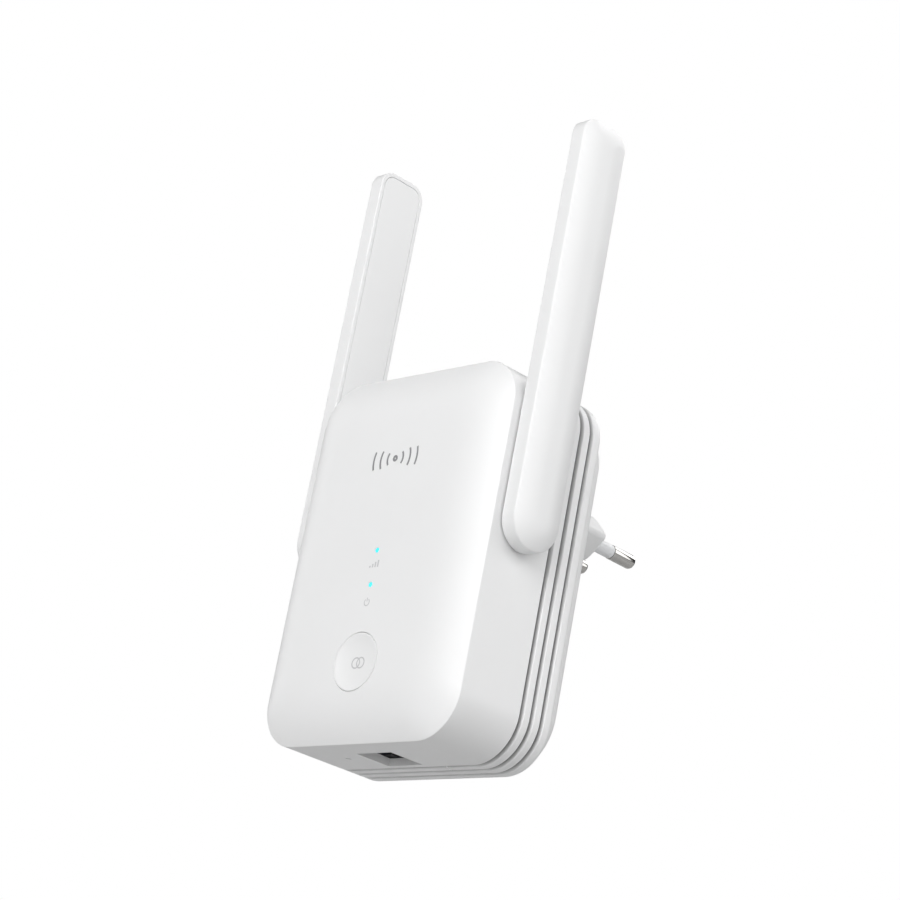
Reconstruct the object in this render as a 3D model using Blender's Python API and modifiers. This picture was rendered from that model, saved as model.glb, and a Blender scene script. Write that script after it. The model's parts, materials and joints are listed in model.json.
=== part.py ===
"""Plug-in Wi-Fi range extender with two swivelling paddle antennas.

Row frame: the origin lies between the two pins on the plug's end face, +Y runs
out of the plug towards the wall socket, +Z is up and +X is to the right as seen
from the front. Sizes below are in millimetres; the mesh makers turn them into
metres.
"""

import math

import bmesh
import bpy
from mathutils import Matrix, Vector

MM = 0.001
GAP = 0.3
CONTACT_GAP = 0.1

# Case
BODY_HALF = 35.6
BODY_LOW = -73.8
BODY_HIGH = 26.1
BODY_RADIUS = 12.6
WALL = 2.0
SEAM_Y = -38.5
EDGE_Y = -59.3
EDGE_BREAK = 0.15
PILLOW_RISE = 4.2
FACE_Y = EDGE_Y - PILLOW_RISE
PILLOW_REACH = 15.0
PILLOW_POWER = 2.2
PILLOW_INSETS = (EDGE_BREAK, 0.8, 2.0, 3.6, 5.6, 8.0, 11.0, PILLOW_REACH)
CORNER_SHRINK = 0.45
CORNER_STEPS = 7

# Rear cover: louvre ribs, back plate and plinth
GROOVE_DEPTH = 1.7
GROOVE_FRONTS = (SEAM_Y, -34.84, -31.19)
GROOVE_RUN = 1.55
RIB_EDGE = 0.25
RIB_BREAK = 0.12
BACK_Y = -26.3
BACK_ROUND = 1.9
BACK_WALL = 3.6
PLINTH_HALF = 31.0
PLINTH_LOW = -71.5
PLINTH_HIGH = 23.7
PLINTH_RADIUS = 14.6
PLINTH_Y = -20.2
PLINTH_ROUND = 2.0
LIP_FRONT = -41.5
ROUND_STEPS = 4
PRY_LEFT = 11.4
PRY_RIGHT = 12.0
PRY_DEPTH = 0.6
NOTCH_HALF = 8.4
NOTCH_HEIGHT = 5.0

# Plug
PLUG_APEX = 17.65
PLUG_FLAT = 10.8
PLUG_HALF_HEIGHT = 6.85
PLUG_APEX_FILLET = 0.9
PLUG_FILLET = 3.2
PLUG_SECTIONS = ((0.0, -1.4), (0.15, -0.6), (0.6, -0.12), (1.0, 0.0))
FLANGE_REACH = 3.0
FLANGE_THICK = 2.2
FLANGE_REAR = PLINTH_Y - WALL - GAP
FLANGE_FRONT = FLANGE_REAR - FLANGE_THICK
PIN_SPACING = 18.6
PIN_TIP_SPACING = 17.5
PIN_LENGTH = 19.0
PIN_RADIUS = 2.0
PIN_NECK = 1.3
PIN_HOLE = 2.2
PIN_REAR = -28.6
PIN_TIP = ((2.0, 1.3), (1.82, 0.6), (1.4, 0.15), (0.7, 0.0))
SLEEVE_LENGTH = 10.0
SLEEVE_RADIUS = 1.9
SLEEVE_BORE = 1.6
CONTACT_FRONT = -30.9
CONTACT_REAR = -25.4
CONTACT_HALF = 2.4
CONTACT_SHEET = 0.6
CONTACT_WIDTH = 3.2
CONTACT_OFFSET = 0.8

# Antennas
HINGE_Y = -49.1
HINGE_Z = -15.05
HINGE_HOLE = 4.15
HINGE_RADIUS = 4.05
HINGE_BORE = 1.4
HINGE_INNER_END = 31.0
HINGE_FLANGE = 5.6
HINGE_FLANGE_THICK = 0.8
CLIP_SPAN = (31.4, 32.1)
WASHER_SPAN = (32.4, 33.3)
WASHER_RADIUS = 6.2
ANTENNA_INNER = 36.15
ANTENNA_RIDGE = 40.5
ANTENNA_RISE = 1.8
ANTENNA_HALF = 7.95
ANTENNA_TOP = 94.0
ANTENNA_TOP_RADIUS = 4.6
ANTENNA_WALL = 1.2
PANEL_GAP = 0.2
PANEL_THICK = 1.2
DOME_REACH = 6.5
DOME_INSETS = (0.1, 0.6, 1.5, 2.8, 4.4, DOME_REACH)
RADIATOR_SPAN = (39.2, 39.9)
RADIATOR_HALF = 4.0
RADIATOR_START = 12.0
RADIATOR_END = 10.0
COAX_RADIUS = 0.6
FEED_PLUG_X = 24.0
FEED_PLUG_Z = -20.0

# Front controls
BUTTON_Z = -53.6
BUTTON_RADIUS = 7.6
BUTTON_HOLE = 7.78
BUTTON_DISH = 1.1
DISH_POWER = 2.6
BUTTON_RIM = 0.35
BUTTON_EDGE = 0.1
BUTTON_FLANGE = 8.6
BUTTON_FLANGE_SPAN = (2.8, 3.7)
BUTTON_STEM = 1.6
BUTTON_STEM_END = 4.9
SWITCH_HALF = 3.0
SWITCH_FRONT = 5.9
LED_HEIGHTS = {"signal": -24.1, "system": -33.3}
LED_HALF = (0.8, 0.5)
LED_THICK = 0.9
PIPE_RADIUS = 0.6
PIPE_HOLE = 0.72

# Bottom openings
JACK_HALF = 6.27
JACK_FRONT = -51.6
JACK_REAR = -40.4
JACK_BODY_HALF = 7.9
JACK_BODY_REAR = -39.5
JACK_BODY_HEIGHT = 16.0
CAVITY_HALF = 5.95
CAVITY_FRONT = -51.3
CAVITY_REAR = -42.8
CAVITY_HEIGHT = 13.0
LATCH_HALF = 3.2
LATCH_REAR = -40.7
LATCH_HEIGHT = 11.0
COMB_PITCH = 1.02
COMB_FINGERS = 8
COMB_FINGER = 0.4
RESET_X = -13.6
RESET_Y = -47.75
RESET_HOLE = 0.8
RESET_SWITCH_LOW = -69.3
RESET_SWITCH_HIGH = -65.6

# Boards, and the components on them
BOARD_FRONT = -54.2
BOARD_BACK = -53.0
BOARD_HALF = 30.6
BOARD_LOW = -71.0
BOARD_HIGH = 22.5
BOARD_RADIUS = 8.0
POWER_FRONT = -32.4
POWER_BACK = -31.2
POSTS = ((27.0, 13.5), (-27.0, 13.5), (27.0, -61.0), (-27.0, -61.0))
POST_RADIUS = 2.8
SCREW_RADIUS = 0.8
SCREW_HOLE = 1.1
SCREW_HEAD = 2.2
SHIELD_HALF = 20.0
SHIELD_Z = (-50.0, -25.0)
SHIELD_THICK = 2.4
PAD_HALF = 16.0
PAD_Z = (-47.0, -28.0)
PAD_THICK = 1.0
SPREADER_HALF = 22.0
SPREADER_Z = (-52.0, -23.6)
SPREADER_THICK = 1.5
CORE_X = -14.0
CORE_Z = -2.0
CORE_HALF = 10.0
CORE_WINDOW = 6.0
CORE_LEG_Z = -10.0
CORE_DEPTHS = (12.0, 3.0)
COIL_HALF = (5.7, 7.3, 4.4)
COIL_BORE = (4.8, 2.3)
BIG_CAN = ((9.0, 13.0), 5.0, 15.0)
SMALL_CAN = ((8.0, -15.0), 4.0, 11.0)
CHOKE_SPOT = (20.1, 12.5)
CHOKE_RING = 3.9
CHOKE_WIRE = 1.8

STEPS = 32
SMALL_STEPS = 20
FINE_STEPS = 48
WELD = 0.00001

# Euler angles that turn an object's own Z axis onto a row axis
AXIS_TURNS = {"X": (0.0, math.pi / 2, 0.0), "Y": (-math.pi / 2, 0.0, 0.0), "Z": (0.0, 0.0, 0.0)}
# Euler angles that stand a flat outline across a row axis
PLANE_TURNS = {"X": (math.pi / 2, 0.0, math.pi / 2), "Y": (math.pi / 2, 0.0, 0.0)}

# Name: colour, roughness, metallic
MATERIALS = {
    "white_plastic": ((0.86, 0.87, 0.88), 0.36, 0.0),
    "antenna_plastic": ((0.84, 0.85, 0.86), 0.34, 0.0),
    "sleeve_plastic": ((0.88, 0.89, 0.90), 0.42, 0.0),
    "pin_metal": ((0.78, 0.77, 0.75), 0.16, 1.0),
    "contact_metal": ((0.83, 0.66, 0.36), 0.28, 1.0),
    "shield_metal": ((0.72, 0.73, 0.74), 0.32, 1.0),
    "screw_metal": ((0.55, 0.55, 0.56), 0.35, 1.0),
    "spreader_metal": ((0.70, 0.71, 0.73), 0.45, 1.0),
    "board_green": ((0.03, 0.20, 0.10), 0.48, 0.0),
    "black_plastic": ((0.025, 0.025, 0.028), 0.45, 0.0),
    "grey_plastic": ((0.30, 0.31, 0.32), 0.50, 0.0),
    "ferrite": ((0.09, 0.09, 0.10), 0.62, 0.0),
    "winding_tape": ((0.80, 0.58, 0.12), 0.46, 0.0),
    "capacitor_sleeve": ((0.05, 0.06, 0.11), 0.34, 0.0),
    "fuse_body": ((0.58, 0.50, 0.36), 0.40, 0.0),
    "copper_wire": ((0.62, 0.28, 0.12), 0.34, 1.0),
    "thermal_silicone": ((0.42, 0.52, 0.66), 0.75, 0.0),
    "light_pipe": ((0.45, 0.86, 0.92), 0.18, 0.0),
    "led_lens": ((0.90, 0.88, 0.60), 0.30, 0.0),
    "coax_jacket": ((0.10, 0.10, 0.11), 0.42, 0.0),
    "washer_nylon": ((0.70, 0.70, 0.66), 0.50, 0.0),
}


def clear_scene():
    """Empty the scene and add the object's and the cutters' collections."""
    for obj in list(bpy.data.objects):
        bpy.data.objects.remove(obj, do_unlink=True)
    scene = bpy.context.scene
    part = bpy.data.collections.new("wifi_range_extender")
    cutters = bpy.data.collections.new("cutters")
    scene.collection.children.link(part)
    scene.collection.children.link(cutters)
    return part, cutters


def make_materials():
    """Make one Principled material for each entry of MATERIALS."""
    made = {}
    for name, (colour, roughness, metallic) in MATERIALS.items():
        material = bpy.data.materials.new(name)
        material.use_nodes = True
        shader = material.node_tree.nodes["Principled BSDF"]
        shader.inputs["Base Color"].default_value = (*colour, 1.0)
        shader.inputs["Roughness"].default_value = roughness
        shader.inputs["Metallic"].default_value = metallic
        material.diffuse_color = (*colour, 1.0)
        made[name] = material
    return made


PART, CUTTERS = clear_scene()
PAINT = make_materials()


# Mesh makers


def add_object(name, data, material, origin=(0.0, 0.0, 0.0), turn=(0.0, 0.0, 0.0)):
    """Put a mesh or curve in the part's collection, with its material."""
    data.materials.append(PAINT[material])
    obj = bpy.data.objects.new(name, data)
    obj.location = Vector(origin) * MM
    obj.rotation_euler = turn
    PART.objects.link(obj)
    return obj


def mesh_from(name, bm):
    """Write a bmesh into a new mesh and free it."""
    mesh = bpy.data.meshes.new(name)
    bm.to_mesh(mesh)
    bm.free()
    return mesh


def loft(name, rings, material, origin=(0.0, 0.0, 0.0)):
    """Skin a list of unlike rings of equal length into one closed body."""
    count = len(rings[0])
    start = Vector(origin)
    bm = bmesh.new()
    layers = []
    for ring in rings:
        layers.append([bm.verts.new((Vector(point) - start) * MM) for point in ring])
    bm.faces.new(layers[0])
    bm.faces.new(reversed(layers[-1]))
    for lower, upper in zip(layers, layers[1:]):
        for index in range(count):
            after = (index + 1) % count
            bm.faces.new((lower[index], upper[index], upper[after], lower[after]))
    bmesh.ops.recalc_face_normals(bm, faces=bm.faces)
    return add_object(name, mesh_from(name, bm), material, origin)


def box(name, low, high, material, origin=(0.0, 0.0, 0.0), bevel=0.0):
    """Make a box between two opposite corners, with rounded edges if asked."""
    start = Vector(origin)
    middle = ((Vector(low) + Vector(high)) / 2 - start) * MM
    size = Vector([abs(edge) * MM for edge in Vector(high) - Vector(low)])
    bm = bmesh.new()
    bmesh.ops.create_cube(bm, size=1.0, matrix=Matrix.LocRotScale(middle, None, size))
    obj = add_object(name, mesh_from(name, bm), material, origin)
    if bevel:
        rounding = obj.modifiers.new("rounded_edges", "BEVEL")
        rounding.width = bevel * MM
        rounding.segments = 2
    return obj


def turned(name, axis, centre, profile, material, origin=None, steps=STEPS, closed=False):
    """Turn a profile of (radius, distance) points around an axis.

    An open profile is closed by flat ends on the axis.
    """
    origin = Vector(centre if origin is None else origin)
    start = origin["XYZ".index(axis)]
    spots = [(radius, distance - start) for radius, distance in profile]
    if not closed:
        spots = [(0.0, spots[0][1]), *spots, (0.0, spots[-1][1])]
    sides = zip(spots, spots[1:] + spots[:1])
    if sum(here[0] * after[1] - after[0] * here[1] for here, after in sides) > 0:
        spots.reverse()
    bm = bmesh.new()
    corners = [bm.verts.new((radius * MM, 0.0, distance * MM)) for radius, distance in spots]
    for here, after in zip(corners, corners[1:]):
        bm.edges.new((here, after))
    if closed:
        bm.edges.new((corners[-1], corners[0]))
    obj = add_object(name, mesh_from(name, bm), material, origin, AXIS_TURNS[axis])
    screw = obj.modifiers.new("turned", "SCREW")
    screw.steps = steps
    screw.render_steps = steps
    screw.use_merge_vertices = True
    screw.merge_threshold = WELD
    return obj


def tube(name, axis, centre, outer, inner, low, high, material, origin=None, steps=STEPS):
    """Make a plain tube or washer between two distances along an axis."""
    profile = ((outer, low), (outer, high), (inner, high), (inner, low))
    return turned(name, axis, centre, profile, material, origin, steps, closed=True)


def flat_curve(name, outline, axis, low, high, material, origin=(0.0, 0.0, 0.0)):
    """Extrude a flat outline along X or Y, as a filled curve."""
    index = "XYZ".index(axis)
    spot = Vector(origin)
    across = [spot[other] for other in range(3) if other != index]
    spot[index] = (low + high) / 2
    curve = bpy.data.curves.new(name, "CURVE")
    curve.dimensions = "2D"
    curve.fill_mode = "BOTH"
    curve.extrude = abs(high - low) / 2 * MM
    line = curve.splines.new("POLY")
    line.points.add(len(outline) - 1)
    for point, (first, second) in zip(line.points, outline):
        point.co = ((first - across[0]) * MM, (second - across[1]) * MM, 0.0, 1.0)
    line.use_cyclic_u = True
    return add_object(name, curve, material, spot, PLANE_TURNS[axis])


def as_mesh(obj):
    """Replace a curve object by a mesh object of the same shape, caps welded."""
    bpy.context.view_layer.update()
    name = obj.name
    matrix = obj.matrix_world.copy()
    graph = bpy.context.evaluated_depsgraph_get()
    mesh = bpy.data.meshes.new_from_object(obj.evaluated_get(graph))
    bpy.data.objects.remove(obj, do_unlink=True)
    bm = bmesh.new()
    bm.from_mesh(mesh)
    bmesh.ops.remove_doubles(bm, verts=bm.verts, dist=WELD)
    bmesh.ops.recalc_face_normals(bm, faces=bm.faces)
    bm.to_mesh(mesh)
    bm.free()
    solid = bpy.data.objects.new(name, mesh)
    solid.matrix_world = matrix
    PART.objects.link(solid)
    return solid


def smooth_path(points, steps=5):
    """Return a Catmull-Rom curve through the given points."""
    knots = [Vector(point) for point in points]
    knots = [2 * knots[0] - knots[1], *knots, 2 * knots[-1] - knots[-2]]
    path = []
    for index in range(1, len(knots) - 2):
        before, start, end, after = knots[index - 1 : index + 3]
        for step in range(steps):
            t = step / steps
            slope = (end - before) * t
            bend = (2 * before - 5 * start + 4 * end - after) * t**2
            twist = (3 * start - before - 3 * end + after) * t**3
            path.append(start + 0.5 * (slope + bend + twist))
    path.append(knots[-2])
    return path


def wire(name, points, radius, material, origin=(0.0, 0.0, 0.0)):
    """Run a round wire along a smooth path, as a bevelled curve."""
    curve = bpy.data.curves.new(name, "CURVE")
    curve.dimensions = "3D"
    curve.bevel_depth = radius * MM
    curve.bevel_resolution = 2
    curve.use_fill_caps = True
    path = smooth_path(points)
    line = curve.splines.new("POLY")
    line.points.add(len(path) - 1)
    for point, spot in zip(line.points, path):
        point.co = (*((spot - Vector(origin)) * MM), 1.0)
    return add_object(name, curve, material, origin)


def combine(target, tool, operation):
    """Cut a tool out of the target or add it, and hide the tool as a cutter."""
    change = target.modifiers.new(tool.name, "BOOLEAN")
    change.operation = operation
    change.solver = "EXACT"
    change.object = tool
    PART.objects.unlink(tool)
    CUTTERS.objects.link(tool)
    tool.hide_render = True
    tool.display_type = "WIRE"


def cut(target, tool):
    """Cut a tool out of the target."""
    combine(target, tool, "DIFFERENCE")


def join(target, tool):
    """Fuse a tool with the target."""
    combine(target, tool, "UNION")


# Case


def rounded_rectangle(half, low, high, radius, y):
    """Return a rounded-rectangle ring in the XZ plane at depth y."""
    corners = (
        (half - radius, high - radius, 0),
        (radius - half, high - radius, 90),
        (radius - half, low + radius, 180),
        (half - radius, low + radius, 270),
    )
    points = []
    for x, z, start in corners:
        for step in range(CORNER_STEPS + 1):
            angle = math.radians(start + 90 * step / CORNER_STEPS)
            points.append((x + radius * math.cos(angle), y, z + radius * math.sin(angle)))
    return points


def body_ring(inset, y):
    """Return the case outline, inset evenly from the outer side walls."""
    return rounded_rectangle(
        BODY_HALF - inset, BODY_LOW + inset, BODY_HIGH - inset, BODY_RADIUS - inset, y
    )


def pillow_y(inset):
    """Return the depth of the domed front at a distance in from its edge."""
    fade = (1 - min(inset / PILLOW_REACH, 1)) ** PILLOW_POWER
    return EDGE_Y - PILLOW_RISE * (1 - fade)


def pillow_ring(inset, thickness):
    """Return one ring of the domed front, or of its inner side."""
    reach = inset + thickness
    radius = BODY_RADIUS - thickness - CORNER_SHRINK * inset
    return rounded_rectangle(
        BODY_HALF - reach, BODY_LOW + reach, BODY_HIGH - reach, radius, pillow_y(inset) + thickness
    )


def make_front_cover():
    """Front shell: domed face, side walls, screw posts and every opening."""
    rings = [pillow_ring(inset, WALL) for inset in reversed(PILLOW_INSETS)]
    rings.append(body_ring(WALL, SEAM_Y))
    rings.append(body_ring(0.0, SEAM_Y))
    rings.append(body_ring(0.0, EDGE_Y + EDGE_BREAK))
    rings.extend(pillow_ring(inset, 0.0) for inset in PILLOW_INSETS)
    cover = loft("front_cover", rings, "white_plastic")
    inside = FACE_Y + WALL
    for number, (x, z) in enumerate(POSTS, 1):
        post = ((POST_RADIUS, inside - 0.1), (POST_RADIUS, BOARD_FRONT - GAP))
        join(cover, turned(f"post_{number}", "Y", (x, 0, z), post, "white_plastic", steps=SMALL_STEPS))
        hole = ((SCREW_HOLE, inside + 1.5), (SCREW_HOLE, BOARD_FRONT + 1.0))
        cut(cover, turned(f"post_hole_{number}", "Y", (x, 0, z), hole, "white_plastic", steps=12))
    hinge = ((HINGE_HOLE, -40.0), (HINGE_HOLE, 40.0))
    cut(cover, turned("hinge_holes", "X", (0, HINGE_Y, HINGE_Z), hinge, "white_plastic"))
    socket_low = (-JACK_HALF, JACK_FRONT, BODY_LOW - 2)
    socket_high = (JACK_HALF, JACK_REAR, BODY_LOW + WALL + 2)
    cut(cover, box("socket_window", socket_low, socket_high, "white_plastic"))
    reset = ((RESET_HOLE, BODY_LOW - 2), (RESET_HOLE, BODY_LOW + WALL + 2))
    cut(cover, turned("reset_hole", "Z", (RESET_X, RESET_Y, 0), reset, "white_plastic", steps=16))
    button = ((BUTTON_HOLE, FACE_Y - 2.5), (BUTTON_HOLE, FACE_Y + 4.5))
    cut(cover, turned("button_hole", "Y", (0, 0, BUTTON_Z), button, "white_plastic", steps=FINE_STEPS))
    for name, z in LED_HEIGHTS.items():
        pipe = ((PIPE_HOLE, FACE_Y - 2.5), (PIPE_HOLE, FACE_Y + 4.5))
        cut(cover, turned(f"{name}_hole", "Y", (0, 0, z), pipe, "white_plastic", steps=SMALL_STEPS))


def quarter_round(radius):
    """Return (inset, rise) pairs along a quarter-round edge."""
    pairs = []
    for step in range(1, ROUND_STEPS + 1):
        angle = math.radians(90 * step / ROUND_STEPS)
        pairs.append((radius * (1 - math.cos(angle)), radius * math.sin(angle)))
    return pairs


def plinth_ring(inset, y):
    """Return the plinth outline, inset evenly from its side."""
    return rounded_rectangle(
        PLINTH_HALF - inset, PLINTH_LOW + inset, PLINTH_HIGH - inset, PLINTH_RADIUS - inset, y
    )


def make_rear_cover():
    """Rear shell: lip, louvre ribs, back plate and the hollow plinth."""
    inner_back = BACK_Y - WALL
    rings = [
        plinth_ring(WALL, PLINTH_Y - WALL),
        plinth_ring(WALL, inner_back),
        body_ring(BACK_WALL, inner_back),
        body_ring(BACK_WALL, LIP_FRONT),
        body_ring(WALL + GAP, LIP_FRONT),
        body_ring(WALL + GAP, SEAM_Y + GAP),
    ]
    for number, front in enumerate(GROOVE_FRONTS):
        rings.append(body_ring(GROOVE_DEPTH, front + GAP))
        rings.append(body_ring(RIB_EDGE, front + GROOVE_RUN))
        rings.append(body_ring(0.0, front + GROOVE_RUN + RIB_EDGE))
        if number + 1 < len(GROOVE_FRONTS):
            rib_rear = GROOVE_FRONTS[number + 1]
            rings.append(body_ring(0.0, rib_rear - RIB_BREAK))
            rings.append(body_ring(RIB_BREAK, rib_rear))
            rings.append(body_ring(GROOVE_DEPTH, rib_rear))
    round_start = BACK_Y - BACK_ROUND
    rings.append(body_ring(0.0, round_start + 0.1))
    rings.extend(body_ring(inset, round_start + rise) for inset, rise in quarter_round(BACK_ROUND))
    round_start = PLINTH_Y - PLINTH_ROUND
    rings.append(plinth_ring(0.0, BACK_Y))
    rings.append(plinth_ring(0.0, round_start))
    rings.extend(plinth_ring(inset, round_start + rise) for inset, rise in quarter_round(PLINTH_ROUND))
    cover = loft("rear_cover", rings, "white_plastic")
    window = [plug_ring(-GAP, y) for y in (FLANGE_REAR - 1, PLINTH_Y + 1)]
    cut(cover, loft("plug_window", window, "white_plastic"))
    notch_low = (-NOTCH_HALF, LIP_FRONT - 1, BODY_LOW)
    notch_high = (NOTCH_HALF, SEAM_Y - 0.1, BODY_LOW + NOTCH_HEIGHT)
    cut(cover, box("jack_notch", notch_low, notch_high, "white_plastic"))
    pry_low = (PRY_LEFT, SEAM_Y + 0.1, BODY_LOW - 1)
    pry_high = (PRY_RIGHT, GROOVE_FRONTS[1] + 0.1, BODY_LOW + PRY_DEPTH)
    cut(cover, box("pry_slot", pry_low, pry_high, "white_plastic"))


# Plug


def plug_ring(inset, y):
    """Return the plug's six-sided outline with filleted corners."""
    apex = PLUG_APEX - math.sqrt(2) * inset
    flat = PLUG_FLAT - (math.sqrt(2) - 1) * inset
    height = PLUG_HALF_HEIGHT - inset
    corners = [(apex, 0), (flat, height), (-flat, height), (-apex, 0), (-flat, -height), (flat, -height)]
    points = []
    for index, corner in enumerate(corners):
        fillet = PLUG_APEX_FILLET if index % 3 == 0 else PLUG_FILLET
        here = Vector(corner)
        before = (Vector(corners[index - 1]) - here).normalized()
        after = (Vector(corners[(index + 1) % len(corners)]) - here).normalized()
        for weight in (0.0, 0.3, 0.7, 1.0):
            blend = before * (1 - weight) ** 2 + after * weight**2
            spot = here + fillet * blend
            points.append((spot.x, y, spot.y))
    return points


def pin_pose(obj, side):
    """Set an object turned around Y on its slightly converging pin axis."""
    lean = math.atan((PIN_SPACING - PIN_TIP_SPACING) / 2 / PIN_LENGTH)
    obj.location.x = side * PIN_SPACING / 2 * MM
    obj.rotation_euler.z = side * lean


def contact_outline():
    """Return the outline of a spring contact that clips round a pin's rear end."""
    outer = CONTACT_HALF
    inner = CONTACT_HALF - CONTACT_SHEET
    arm = [
        (CONTACT_FRONT, -outer),
        (CONTACT_REAR, -outer),
        (CONTACT_REAR, -inner),
        (CONTACT_FRONT + CONTACT_SHEET, -inner),
    ]
    return arm + [(y, -z) for y, z in reversed(arm)]


def make_plug():
    """Plug tower with its flange, pins, insulating sleeves and inner contacts."""
    sections = ((-FLANGE_REACH, FLANGE_FRONT), (-FLANGE_REACH, FLANGE_REAR), (0.0, FLANGE_REAR))
    sections = sections + PLUG_SECTIONS
    tower = loft("plug_body", [plug_ring(inset, y) for inset, y in sections], "white_plastic")
    zero = (0.0, 0.0, 0.0)
    shaft = [(PIN_NECK, PIN_REAR), (PIN_NECK, SLEEVE_LENGTH + GAP), (PIN_RADIUS, SLEEVE_LENGTH + GAP)]
    shaft.extend((radius, PIN_LENGTH - back) for radius, back in PIN_TIP)
    for name, side in (("left", -1), ("right", 1)):
        hole = ((PIN_HOLE, PIN_REAR - 1.4), (PIN_HOLE, 2.0))
        hole_tool = turned(f"pin_hole_{name}", "Y", zero, hole, "white_plastic", steps=SMALL_STEPS)
        pin_pose(hole_tool, side)
        cut(tower, hole_tool)
        pin_pose(turned(f"pin_{name}", "Y", zero, shaft, "pin_metal", steps=24), side)
        sleeve = tube(
            f"pin_sleeve_{name}", "Y", zero, SLEEVE_RADIUS, SLEEVE_BORE, FLANGE_FRONT + 0.5, SLEEVE_LENGTH,
            "sleeve_plastic", steps=24,
        )
        pin_pose(sleeve, side)
        middle = side * (PIN_SPACING / 2 + CONTACT_OFFSET)
        span = (middle - CONTACT_WIDTH / 2, middle + CONTACT_WIDTH / 2)
        flat_curve(f"pin_contact_{name}", contact_outline(), "X", *span, "contact_metal")


# Boards


def make_main_board():
    """Main board on its four screws, with shield, thermal pad and heat spreader."""
    ring = rounded_rectangle(BOARD_HALF, BOARD_LOW, BOARD_HIGH, BOARD_RADIUS, 0.0)
    outline = [(x, z) for x, _, z in ring]
    board = as_mesh(flat_curve("main_board", outline, "Y", BOARD_FRONT, BOARD_BACK, "board_green"))
    head = BOARD_BACK + GAP
    for number, (x, z) in enumerate(POSTS, 1):
        hole = ((SCREW_HOLE + 0.2, BOARD_FRONT - 1), (SCREW_HOLE + 0.2, BOARD_BACK + 1))
        cut(board, turned(f"board_hole_{number}", "Y", (x, 0, z), hole, "board_green", steps=12))
        shank = [(SCREW_RADIUS, FACE_Y + WALL + 2.3), (SCREW_RADIUS, head), (SCREW_HEAD, head)]
        shank.extend([(SCREW_HEAD, head + 0.9), (SCREW_HEAD - 0.7, head + 1.4)])
        turned(f"board_screw_{number}", "Y", (x, 0, z), shank, "screw_metal", steps=16)
    start = BOARD_BACK + CONTACT_GAP
    stack = (
        ("shield_can", SHIELD_HALF, SHIELD_Z, SHIELD_THICK, "shield_metal", 0.4),
        ("thermal_pad", PAD_HALF, PAD_Z, PAD_THICK, "thermal_silicone", 0.0),
        ("heat_spreader", SPREADER_HALF, SPREADER_Z, SPREADER_THICK, "spreader_metal", 0.4),
    )
    for name, half, (low, high), thick, material, bevel in stack:
        box(name, (-half, start, low), (half, start + thick, high), material, bevel=bevel)
        start += thick + CONTACT_GAP
    low = (-18, BOARD_BACK + CONTACT_GAP, -22)
    high = (-6, POWER_FRONT - CONTACT_GAP, -19.5)
    box("link_header", low, high, "black_plastic")


def make_can(name, spot, radius, height, front):
    """Make one can capacitor that stands on the power board."""
    rim = radius - 0.4
    profile = [(rim, front - height), (radius, front - height + 0.4), (radius, front - 0.4), (rim, front)]
    turned(name, "Y", (spot[0], 0, spot[1]), profile, "capacitor_sleeve", steps=24)


def make_power_board():
    """Power board with its transformer, capacitors, choke, fuse and rectifier."""
    box("power_board", (-26, POWER_FRONT, -24), (26, POWER_BACK, 20), "board_green")
    front = POWER_FRONT - CONTACT_GAP
    far, near = (front - depth for depth in CORE_DEPTHS)
    low = (CORE_X - CORE_HALF, far, CORE_Z - CORE_HALF)
    core = box("transformer_core", low, (CORE_X + CORE_HALF, near, CORE_Z + CORE_HALF), "ferrite")
    low = (CORE_X - CORE_WINDOW, far - 2, CORE_Z - CORE_WINDOW)
    high = (CORE_X + CORE_WINDOW, near + 2, CORE_Z + CORE_WINDOW)
    cut(core, box("core_window", low, high, "ferrite"))
    centre = Vector((CORE_X, (far + near) / 2, CORE_LEG_Z))
    half = Vector(COIL_HALF)
    coil = box("transformer_coil", centre - half, centre + half, "winding_tape")
    half = Vector((COIL_HALF[0] + 1, *COIL_BORE))
    cut(coil, box("coil_bore", centre - half, centre + half, "winding_tape"))
    make_can("main_capacitor", *BIG_CAN, front)
    make_can("output_capacitor", *SMALL_CAN, front)
    ring = []
    for step in range(8):
        angle = math.tau * step / 8
        across = CHOKE_WIRE * math.cos(angle)
        ring.append((CHOKE_RING + across, front - 2.4 + CHOKE_WIRE * math.sin(angle)))
    spot = (CHOKE_SPOT[0], 0, CHOKE_SPOT[1])
    turned("choke_ring", "Y", spot, ring, "copper_wire", steps=SMALL_STEPS, closed=True)
    turned("fuse", "Z", (4, front - 2.2, 0), ((1.9, -5), (1.9, 5)), "fuse_body", steps=16)
    box("bridge_rectifier", (17, front - 2.6, -18), (23, front, -13), "black_plastic")


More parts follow.
